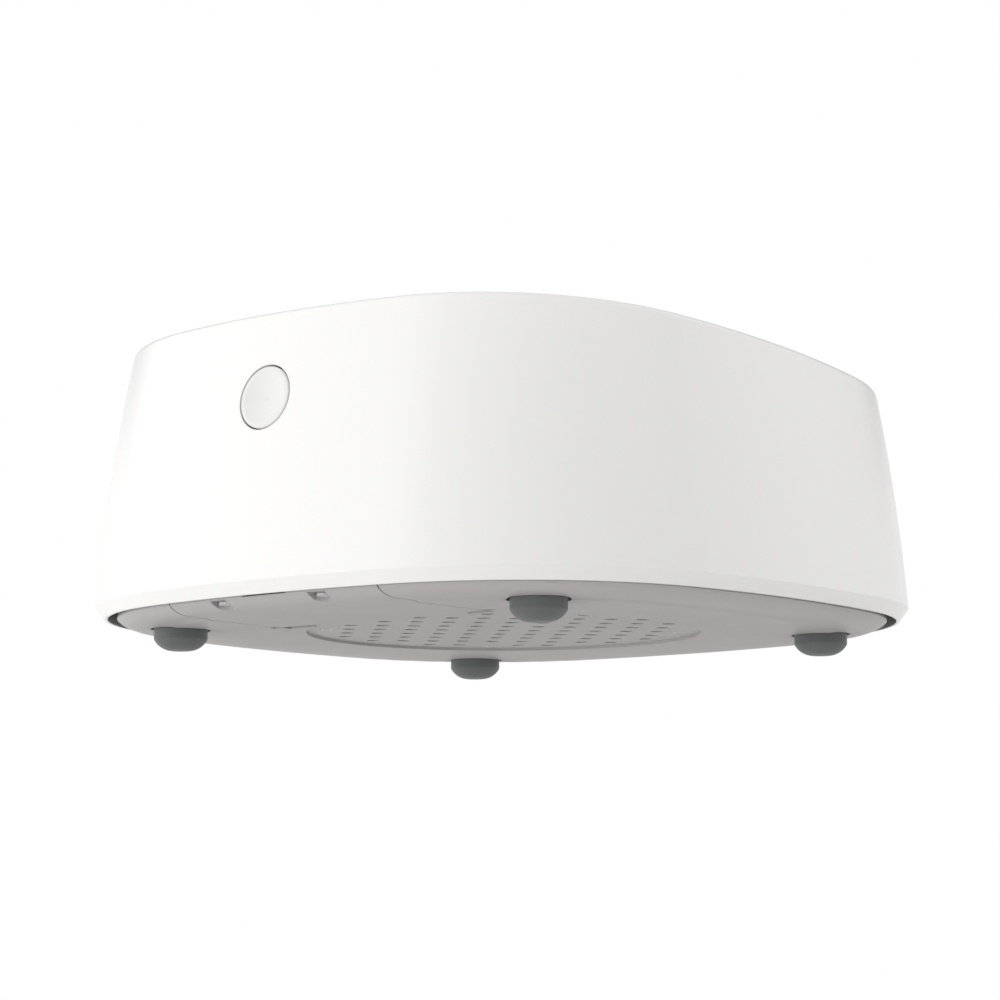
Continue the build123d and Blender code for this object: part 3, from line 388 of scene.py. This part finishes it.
# Circuit board: dark lacquer with traces and vias that show through it
def make_circuit():
    surface = new_material("circuit_dark", 0.35, Coat_Weight=0.4, Coat_Roughness=0.1)
    tree = surface.node_tree
    shader = tree.nodes["Principled BSDF"]
    place = place_of(tree)
    net = add_node(tree, "TexBrick", Vector=place, Scale=260.0, Mortar_Size=0.07, Mortar_Smooth=0.0)
    net.inputs["Color1"].default_value = (0, 0, 0, 1)
    net.inputs["Color2"].default_value = (0, 0, 0, 1)
    net.inputs["Mortar"].default_value = (1, 1, 1, 1)
    islands = noise(tree, 160, 0.0, place)
    traces = compute(tree, "MULTIPLY", net.outputs["Fac"], compute(tree, "GREATER_THAN", islands, 0.5))
    cells = add_node(tree, "TexVoronoi", Vector=place, Scale=420.0, Randomness=0.4)
    vias = compute(tree, "LESS_THAN", cells.outputs["Distance"], 0.16)
    lacquer = tint(tree, noise(tree, 220), (0.006, 0.012, 0.012), (0.012, 0.022, 0.02))
    with_traces = blend_colour(tree, traces, lacquer, (0.03, 0.05, 0.045, 1))
    finished = blend_colour(tree, vias, with_traces, (0.45, 0.42, 0.36, 1))
    tree.links.new(finished, shader.inputs["Base Color"])
    tree.links.new(vias, shader.inputs["Metallic"])
    tree.links.new(spread(tree, noise(tree, 500), 0.3, 0.45), shader.inputs["Roughness"])
    tree.links.new(bump(tree, compute(tree, "ADD", traces, vias), 0.00003), shader.inputs["Normal"])
    return surface


# Smoky clear plastic: thin where it faces the viewer, denser along its edges, above the cells and past
# their ends
def make_clear():
    surface = new_material("clear_plastic", 0.12, Specular_IOR_Level=0.1)
    tree = surface.node_tree
    shader = tree.nodes["Principled BSDF"]
    facing = add_node(tree, "LayerWeight", Blend=0.35).outputs["Facing"]
    smoke = tint(tree, noise(tree, 90), (0.03, 0.031, 0.033), (0.07, 0.072, 0.075))
    tree.links.new(smoke, shader.inputs["Base Color"])
    low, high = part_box("battery_front")
    centre = (low.x + high.x) / 2
    half = (high.x - low.x) / 2
    place = add_node(tree, "SeparateXYZ", Vector=place_of(tree))
    past = compute(tree, "ABSOLUTE", compute(tree, "SUBTRACT", place.outputs["X"], centre))
    ends = spread(tree, past, 0.05, 0.42, half, half + 0.002)
    above = spread(tree, place.outputs["Z"], 0, 0.3, high.z - 0.0005, high.z + 0.001)
    edges = spread(tree, facing, 0.0, 0.35, 0.4, 0.95)
    alpha = compute(tree, "ADD", compute(tree, "ADD", ends, above), edges)
    tree.links.new(alpha, shader.inputs["Alpha"])
    tree.links.new(spread(tree, noise(tree, 300, 5.0), 0.08, 0.2), shader.inputs["Roughness"])
    tree.links.new(bump(tree, noise(tree, 250, 2.0), 0.00003), shader.inputs["Normal"])
    return surface


bowl_steel = make_spun_steel()
circuit_dark = make_circuit()
clear_plastic = make_clear()

surfaces = {
    "shell_white": shell_white,
    "inner_white": inner_white,
    "bowl_steel": bowl_steel,
    "bright_ring": chrome,
    "window_grey": window_grey,
    "circuit_dark": circuit_dark,
    "black_plastic": black_plastic,
    "foot_rubber": foot_rubber,
    "bracket_white": bracket_white,
    "clear_plastic": clear_plastic,
    "battery_wrap": battery_wrap,
    "contact_metal": contact_metal,
    "gasket_rubber": gasket_rubber,
    "plate_white": plate_white,
    "screw_steel": screw_steel,
}
for part in frame["record"]["subparts"]:
    node = nodes[part["node"]]
    node.data.materials.clear()
    node.data.materials.append(surfaces[part["material_slot"]])
nodes["button_cap"].data.materials[0] = cap_white


# Mesh tools, in millimetres: every shape is drawn in a grid and scaled to metres at the end
def circle(grid, place, radius, height, sides):
    """Ring of points about the Z axis of place, or one point where the radius is zero."""
    turns = [2 * pi * k / sides for k in range(sides if radius else 1)]
    return [grid.verts.new(place @ Vector((radius * cos(t), radius * sin(t), height))) for t in turns]


def lathe(grid, profile, place, sides=48, material=0):
    """Turn (radius, height) points about the Z axis of place."""
    rings = [circle(grid, place, radius, height, sides) for radius, height in profile]
    join_rings(grid, rings, material)


def join_rings(grid, rings, material=0):
    """Faces between each ring of points and the next."""
    for lower, upper in zip(rings, rings[1:]):
        for k in range(max(len(lower), len(upper))):
            below = (lower[k % len(lower)], lower[(k + 1) % len(lower)])
            above = (upper[(k + 1) % len(upper)], upper[k % len(upper)])
            corners = list(dict.fromkeys(below + above))
            if len(corners) > 2:
                grid.faces.new(corners).material_index = material


def block(grid, place, size, edge=0.1, material=0):
    """Box with rounded edges, centred on place."""
    made = bmesh.ops.create_cube(grid, size=1, matrix=place @ Matrix.Diagonal((*size, 1)))
    faces = {face for vert in made["verts"] for face in vert.link_faces}
    for face in faces:
        face.material_index = material
    edges = list(dict.fromkeys(side for vert in made["verts"] for side in vert.link_edges))
    bmesh.ops.bevel(
        grid, geom=edges, offset=edge, segments=2, profile=0.5, affect="EDGES", clamp_overlap=True
    )


def tube(grid, points, radius, sides=10, material=0):
    """Round wire along a line of points, closed at both ends."""
    rings = []
    side = None
    for index, point in enumerate(points):
        ahead = (points[min(index + 1, len(points) - 1)] - points[max(index - 1, 0)]).normalized()
        side = ahead.orthogonal() if side is None else side - ahead * side.dot(ahead)
        side.normalize()
        other = ahead.cross(side)
        turns = [2 * pi * k / sides for k in range(sides)]
        rings.append([grid.verts.new(point + radius * (side * cos(t) + other * sin(t))) for t in turns])
    join_rings(grid, rings, material)
    for ring in (rings[0], rings[-1]):
        grid.faces.new(ring).material_index = material


def finish_piece(grid, name, materials, body, replaced=()):
    """Make the grid a named piece that rides on a body and stands for the replaced nodes."""
    bmesh.ops.scale(grid, vec=(mm, mm, mm), verts=grid.verts)
    bmesh.ops.recalc_face_normals(grid, faces=grid.faces)
    mesh = bpy.data.meshes.new(name)
    grid.to_mesh(mesh)
    grid.free()
    for face in mesh.polygons:
        face.use_smooth = True
    mesh.set_sharp_from_angle(angle=radians(38))
    for surface in materials:
        mesh.materials.append(surface)
    piece = bpy.data.objects.new(name, mesh)
    scene.collection.objects.link(piece)
    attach(piece, body)
    if replaced:
        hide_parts(*replaced)


def node_box(node):
    """Lowest and highest corner of a node, in millimetres."""
    low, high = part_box(node)
    return low / mm, high / mm


def smooth_step(value):
    value = max(0.0, min(1.0, value))
    return value * value * (3 - 2 * value)


# Screws: pan head with a cross recess, thread and tip. Z of place points from the head to the tip
def screw(grid, place, head_radius, head_height, length, core, crest, pitch, tip):
    sides, steps = 48, 16
    thread_sides, rows_a_turn = 24, 8
    top_share, dome_share = 0.8, 0.08
    arm_width, arm_length, recess_depth = 0.17, 0.62, 0.62
    profile = [(crest, 0), (head_radius * 0.97, 0), (head_radius, -0.12), (head_radius, -head_height * 0.4)]
    curve = ((0.97, 0.62), (0.9, 0.8), (top_share, 1 - dome_share))
    profile += [(head_radius * r, -head_height * h) for r, h in curve]
    lathe(grid, profile, place, sides)
    rings = []
    for step in range(steps + 1):
        radius = head_radius * top_share * (1 - step / steps)
        ring = []
        for k in range(sides if radius else 1):
            turn = 2 * pi * k / sides
            x, y = radius * cos(turn), radius * sin(turn)
            arm = min(abs(x), abs(y)) / head_radius
            reach = radius / head_radius
            sunk = smooth_step((arm_width - arm) / 0.07) * smooth_step((arm_length - reach) / 0.12)
            rise = 1 - dome_share * (reach / top_share) ** 2
            ring.append(grid.verts.new(place @ Vector((x, y, head_height * (recess_depth * sunk - rise)))))
        rings.append(ring)
    join_rings(grid, rings)
    rings = []
    rows = int(length / pitch * rows_a_turn)
    for row in range(rows + 1):
        height = length * row / rows
        ring = []
        for k in range(thread_sides):
            phase = (height / pitch - k / thread_sides) % 1.0
            ridge = smooth_step(1 - abs(phase - 0.5) * 3.4) * smooth_step(height / pitch - 0.3)
            radius = core + (crest - core) * ridge
            if tip:
                radius *= max(0.02, min(1.0, (length - height) / tip))
            turn = 2 * pi * k / thread_sides
            ring.append(grid.verts.new(place @ Vector((radius * cos(turn), radius * sin(turn), height))))
        rings.append(ring)
    join_rings(grid, rings)
    grid.faces.new(rings[-1])


def make_screws():
    low, high = node_box("base_screws")
    head_radius, head_height = 1.7, 1.1
    seat = low.z + head_height
    grid = bmesh.new()
    for x in (low.x + head_radius, high.x - head_radius):
        for y in (low.y + head_radius, high.y - head_radius):
            place = Matrix.Translation((x, y, seat)) @ Matrix.Rotation(0.4 * x, 4, "Z")
            sizes = (head_radius, head_height, high.z - seat)
            screw(grid, place, *sizes, core=0.52, crest=0.75, pitch=0.62, tip=2.0)
    finish_piece(grid, "base_screw_set", [screw_steel], "base_fixings", ["base_screws"])
    low, high = node_box("door_screws")
    head_radius = (high.y - low.y) / 2
    seat = low.z + head_height
    grid = bmesh.new()
    for x in (low.x + head_radius, high.x - head_radius):
        place = Matrix.Translation((x, (low.y + high.y) / 2, seat)) @ Matrix.Rotation(0.3 * x, 4, "Z")
        sizes = (head_radius, head_height, high.z - seat)
        screw(grid, place, *sizes, core=0.62, crest=0.85, pitch=0.5, tip=0)
    finish_piece(grid, "door_screw_set", [screw_steel], "door_fixings", ["door_screws"])


# Cells: steel can in a plastic wrap that is shrunk over both ends
def make_cells():
    for node, facing in (("battery_front", 1), ("battery_back", -1)):
        low, high = node_box(node)
        middle = (low + high) / 2
        length = high.x - low.x
        radius = (high.z - low.z) / 2
        start = Vector((low.x if facing > 0 else high.x, middle.y, middle.z))
        turn = Matrix.Rotation(facing * pi / 2, 4, "Y")
        place = Matrix.Translation(start) @ turn
        grid = bmesh.new()
        can = [(0, 0.35), (2.6, 0.35), (2.9, 0.12), (3.9, 0.1), (4.1, 0.3)]
        lathe(grid, can, place, 64, 1)
        wrap = [(3.9, 0.34), (4.1, 0.06), (4.6, 0), (radius - 0.25, 0.12), (radius - 0.05, 0.45)]
        wrap += [(radius, 0.9), (radius, length - 3.1)]
        wrap += [(radius - 0.1, length - 2.9), (radius - 0.1, length - 2.5)]
        wrap += [(radius, length - 2.3), (radius, length - 1.7), (radius - 0.12, length - 1.25)]
        wrap += [(radius - 0.5, length - 1.0), (radius - 1.3, length - 0.95)]
        wrap += [(radius - 1.35, length - 1.15)]
        lathe(grid, wrap, place, 64, 0)
        cap = [(radius - 1.2, length - 1.2), (2.2, length - 1.15), (2.0, length - 0.95)]
        cap += [(1.9, length - 0.8), (1.85, length - 0.2), (1.65, length), (0, length)]
        lathe(grid, cap, place, 64, 1)
        name = node.replace("battery", "cell")
        looks = [battery_wrap, contact_metal]
        finish_piece(grid, name, looks, "battery_holder", [node])


# Contacts: a coned spring at each minus end, a dimpled plate at each plus end
def make_contacts():
    plate = (6.2, 6.2, 0.4)
    turns, steps_a_turn, wire = 3.4, 20, 0.24
    wide, taper = 2.35, 0.95
    start, rise = 0.6, 1.45
    dimple = [(2.3, 0.4), (1.9, 0.9), (1.6, 2.1), (1.3, 2.35), (0, 2.4)]
    low, high = node_box("battery_contacts")
    grid = bmesh.new()
    for node, facing in (("battery_front", 1), ("battery_back", -1)):
        box_low, box_high = node_box(node)
        middle = (box_low + box_high) / 2
        for end in (-1, 1):
            wall = low.x if end * facing < 0 else high.x
            inward = 1 if wall == low.x else -1
            turn = Matrix.Rotation(inward * pi / 2, 4, "Y")
            place = Matrix.Translation((wall, middle.y, middle.z)) @ turn
            block(grid, place @ Matrix.Translation((0, 0, plate[2] / 2)), plate, 0.12)
            if end > 0:
                lathe(grid, dimple, place, 32)
                continue
            points = []
            for step in range(int(turns * steps_a_turn) + 1):
                share = step / (turns * steps_a_turn)
                spin = 2 * pi * turns * share
                radius = wide - taper * share
                spot = Vector((radius * cos(spin), radius * sin(spin), start + rise * share))
                points.append(place @ spot)
            tube(grid, points, wire)
    replaced = ["battery_contacts"]
    finish_piece(grid, "contact_springs", [contact_metal], "battery_holder", replaced)


def chip(grid, spot, size, height, pins):
    """Moulded chip with bent legs on two sides and a round dimple in one corner."""
    lift, corner, end_margin, leg_radius = 0.1, 1.1, 1.2, 0.16
    block(grid, Matrix.Translation(spot + Vector((0, 0, height / 2 + lift))), (*size, height), 0.12)
    dimple = spot + Vector((corner - size[0] / 2, corner - size[1] / 2, height + 0.13))
    lathe(grid, [(0.45, 0), (0.4, -0.08), (0, -0.08)], Matrix.Translation(dimple), 16)
    row = size[0] - end_margin
    leg = [(size[1] / 2 - 0.1, height * 0.55), (size[1] / 2 + 0.35, height * 0.55)]
    leg += [(size[1] / 2 + 0.55, 0.12), (size[1] / 2 + 1.1, 0.1)]
    for side in (-1, 1):
        for pin in range(pins):
            x = spot.x - row / 2 + pin * row / (pins - 1)
            points = [Vector((x, spot.y + side * y, spot.z + z)) for y, z in leg]
            tube(grid, points, leg_radius, 6, 1)


# Parts soldered to the control board, in place of the plain ones
def make_board_parts():
    low, high = node_box("control_board")
    middle = (low + high) / 2
    top = high.z
    grid = bmesh.new()
    chip(grid, Vector((middle.x - 12.5, middle.y, top)), (9, 6.6), 1.3, 7)
    chip(grid, Vector((middle.x + 19.5, middle.y - 6.5, top)), (4.6, 3.4), 1.2, 4)
    buzzer = [(4.5, 0), (4.5, 3.6), (4.3, 3.9), (1.3, 4.0), (1.2, 3.4), (0, 3.4)]
    lathe(grid, buzzer, Matrix.Translation((middle.x, middle.y, top)), 48)
    capacitor_x, capacitor_spacing = 12.5, 6.5
    sleeve = [(2.4, 0), (2.5, 0.3), (2.5, 0.9), (2.3, 1.15)]
    sleeve += [(2.5, 1.4), (2.5, 5.7), (2.35, 5.95), (2.1, 6.0)]
    for side in (-1, 1):
        y = middle.y + side * capacitor_spacing / 2
        spot = Matrix.Translation((middle.x + capacitor_x, y, top))
        lathe(grid, sleeve, spot, 32)
        lathe(grid, [(2.1, 5.9), (1.9, 5.86), (0, 5.9)], spot, 32, 1)
    column_spacing, row_spacing, cap_offset = 2.6, 3.6, 0.75
    for row in range(5):
        for column in range(3):
            x = middle.x - 22 + column_spacing * column
            y = middle.y - 8 + row_spacing * row
            spot = Matrix.Translation((x, y, top + 0.3))
            block(grid, spot, (1.6, 0.8, 0.55), 0.06, 2)
            for end in (-1, 1):
                block(grid, spot @ Matrix.Translation((end * cap_offset, 0, 0)), (0.35, 0.86, 0.6), 0.06, 1)
    socket_x, pin_spacing = middle.x + 21, 2.4
    block(grid, Matrix.Translation((socket_x, middle.y + 6, top + 1.6)), (5, 7.6, 3.2), 0.25, 3)
    for pin in (-1, 0, 1):
        spot = Matrix.Translation((socket_x, middle.y + 6 + pin_spacing * pin, top + 3.1))
        block(grid, spot, (3.4, 1.4, 0.5), 0.1, 1)
    block(grid, Matrix.Translation((middle.x - 4.5, middle.y + 8.6, top + 0.9)), (7, 3, 1.8), 0.6, 1)
    looks = [black_plastic, solder, ceramic, inner_white]
    finish_piece(grid, "board_details", looks, "battery_holder", ["board_parts"])


# Digits of the display, face up under the window
def make_digits():
    low, high = node_box("digit_module")
    slope = radians(4.04)
    place = Matrix.Translation((low + high) / 2) @ Matrix.Rotation(-slope, 4, "X")
    width, thickness = 12, 1.42
    face, bar_thickness, bar_edge = 0.68, 0.16, 0.07
    bar_width, across, upright = 0.9, 4.4, 3.2
    first_digit, digit_spacing = -15, 11
    half_width, half_height = 2.7, 4
    grid = bmesh.new()
    block(grid, place, (high.x - low.x, width, thickness), 0.15, 0)
    bars = [(0, over, across, bar_width) for over in (half_height, 0, -half_height)]
    for side in (-half_width, half_width):
        bars += [(side, over, bar_width, upright) for over in (-half_height / 2, half_height / 2)]
    for digit in range(3):
        x = first_digit + digit_spacing * digit
        for right, over, long, tall in bars:
            spot = place @ Matrix.Translation((x + right, over, face))
            block(grid, spot, (long, tall, bar_thickness), bar_edge, 1)
    unit_x, unit_low, unit_spacing = 18.5, -3.6, 2.4
    for bar in range(4):
        spot = place @ Matrix.Translation((unit_x, unit_low + unit_spacing * bar, face))
        block(grid, spot, (across, 1.1, bar_thickness), bar_edge, 1)
    looks = [black_plastic, segment_white]
    finish_piece(grid, "digit_face", looks, "shell", ["digit_module"])


# Dark fittings in the right-hand chamber of the battery box: thin ribs with metal strips between
def make_box_fittings():
    wall, thickness, edge = 1.7, 0.6, 0.15
    rows, row_start, row_spacing = 7, -9.2, 3.0
    low, high = node_box("battery_box")
    middle = (low + high) / 2
    right = high.x - wall
    left = node_box("battery_contacts")[1].x + wall
    width = right - left
    centre = (left + right) / 2
    roof = low.z + 10.8
    grid = bmesh.new()
    for row in range(rows):
        y = middle.y + row_start + row_spacing * row
        tall = 3.4 + 0.8 * (row % 3)
        rib = Matrix.Translation((centre, y, roof - tall / 2))
        block(grid, rib, (width - 0.5, thickness, tall), edge)
        strip = Matrix.Translation((centre, y + 1.2, roof - 1.6))
        block(grid, strip, (width - 1.2, 0.5, 0.9), edge, 1)
    for x in (left + 1.2, centre, right - 1.2):
        block(grid, Matrix.Translation((x, middle.y, roof - 1.0)), (thickness, 21, 2.0), edge)
    finish_piece(grid, "box_fittings", [black_plastic, contact_metal], "battery_holder")


make_screws()
make_cells()
make_contacts()
make_board_parts()
make_digits()
make_box_fittings()

make_camera()
make_floor()
make_lights()
